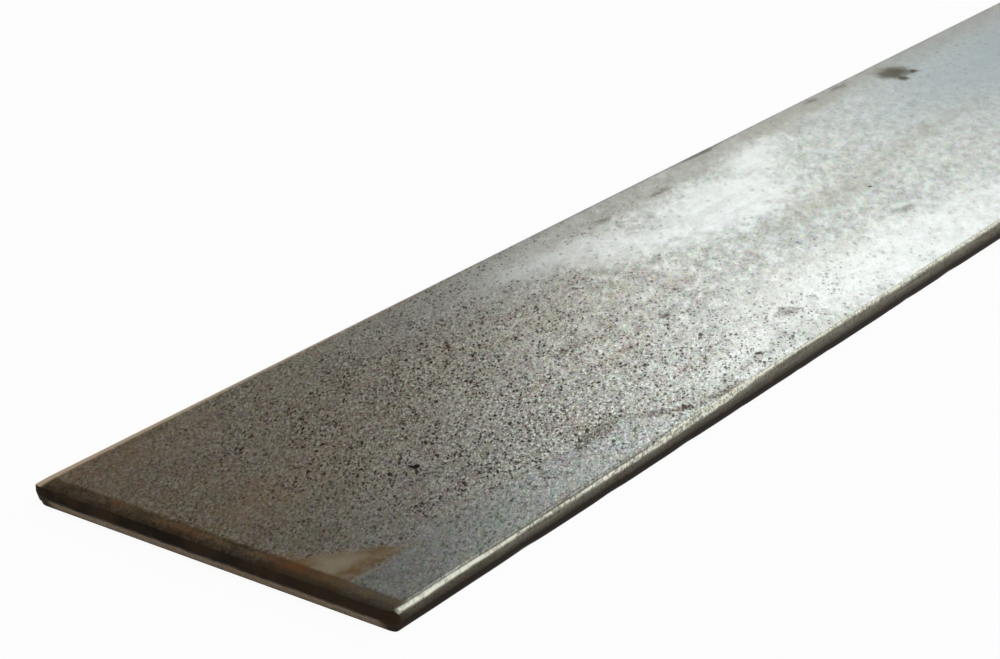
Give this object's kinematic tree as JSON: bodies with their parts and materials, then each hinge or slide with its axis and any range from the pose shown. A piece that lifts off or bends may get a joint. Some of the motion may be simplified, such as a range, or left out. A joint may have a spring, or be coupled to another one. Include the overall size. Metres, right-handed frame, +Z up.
{
  "type": "flat bar",
  "caption": "Hot-rolled steel flat bar with rounded long edges and shear-cut ends, lying flat; raw stock for frames, brackets, straps and bracing.",
  "frame": {"origin": "under the middle of the bar, on the plane of its lower wide face", "axes": "+X along the bar, +Y across its width, +Z up through its thickness; the end at -X has its rollover on the upper face"},
  "size_m": [1, 0.05, 0.003],
  "materials": {
    "mill_scale_steel": "bare hot-rolled mild steel: thin grey mill scale with a dull sheen, fine dark pits, light rust spots and stains, brighter worn long edges"
  },
  "bodies": {
    "root": {"flat_bar": "mill_scale_steel"}
  },
  "joints": []
}
